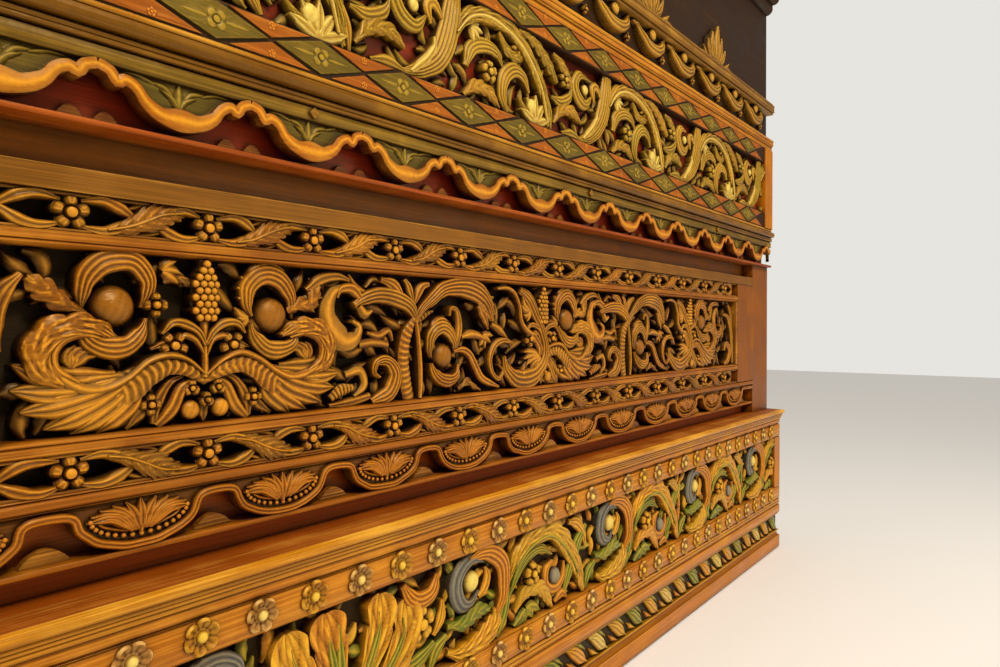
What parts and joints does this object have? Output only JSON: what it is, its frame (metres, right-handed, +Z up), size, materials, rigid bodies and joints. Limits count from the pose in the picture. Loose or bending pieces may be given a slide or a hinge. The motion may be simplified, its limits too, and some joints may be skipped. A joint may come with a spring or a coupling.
{
  "type": "carved wooden facade bay",
  "caption": "Bay of stacked carved and painted wooden friezes with pierced scrollwork, borders, valances and mouldings on a plank and upright frame.",
  "frame": {"origin": "middle of the footprint, on the surface that the base rests on", "axes": "+Z up, +X along the bay, -Y the way the carving faces, +Y towards the wall behind"},
  "size_m": [2.54, 0.15, 1.958],
  "materials": {
    "frame_timber": "sawn, unpainted",
    "red_brown_board": "red-brown paint, worn",
    "orange_gold_paint": "orange-gold paint, dusty",
    "lower_carving_paint": "several paint colours over carving",
    "rosette_paint": "cream and yellow paint",
    "carved_wood": "golden brown stain, satin",
    "red_brown_rail": "reddish brown stain, satin",
    "light_rail": "light brown stain, worn",
    "red_ground": "red paint, matt",
    "olive_paint": "olive and orange paint",
    "gold_paint": "gold paint, worn",
    "upper_carving_paint": "several paint colours over carving",
    "dark_brown_paint": "near-black brown paint"
  },
  "bodies": {
    "root": {"base_sill": "frame_timber", "left_upright": "frame_timber", "middle_upright": "frame_timber", "right_upright": "frame_timber", "bottom_wall_plank": "red_brown_board", "lower_wall_plank": "red_brown_board", "middle_wall_plank": "red_brown_board", "upper_wall_plank": "red_brown_board", "high_wall_plank": "red_brown_board", "top_wall_plank": "red_brown_board", "skirting": "orange_gold_paint", "leaf_strip": "lower_carving_paint", "lower_rail": "orange_gold_paint", "lower_rosette_band": "orange_gold_paint", "upper_rosette_band": "orange_gold_paint", "lower_rosettes": "rosette_paint", "upper_rosettes": "rosette_paint", "lower_left_stile": "orange_gold_paint", "lower_right_stile": "orange_gold_paint", "lower_left_cheek": "red_brown_board", "lower_right_cheek": "red_brown_board", "lower_shelf": "red_brown_board", "lower_cap_moulding": "orange_gold_paint", "lower_carved_field": "lower_carving_paint", "valance_bead": "carved_wood", "carved_valance": "carved_wood", "valance_rail": "red_brown_rail", "lower_border": "carved_wood", "upper_border": "carved_wood", "middle_carved_field": "carved_wood", "middle_left_stile": "red_brown_rail", "middle_right_stile": "red_brown_rail", "middle_left_post": "red_brown_rail", "middle_right_post": "red_brown_rail", "middle_top_rail": "light_rail", "ribbon_bead": "carved_wood", "ribbon_recess": "red_ground", "ribbon_valance": "carved_wood", "olive_fascia": "olive_paint", "fascia_studs": "gold_paint", "half_round_moulding": "orange_gold_paint", "lower_lozenge_band": "olive_paint", "upper_lozenge_band": "olive_paint", "upper_carved_field": "upper_carving_paint", "upper_left_stile": "orange_gold_paint", "upper_right_stile": "orange_gold_paint", "upper_top_moulding": "orange_gold_paint", "bracket_board": "dark_brown_paint", "scroll_brackets": "gold_paint", "gold_rail": "gold_paint", "antefix_board": "dark_brown_paint", "antefixes": "gold_paint", "top_board": "dark_brown_paint", "cornice": "dark_brown_paint", "cornice_cap": "dark_brown_paint"}
  },
  "joints": []
}
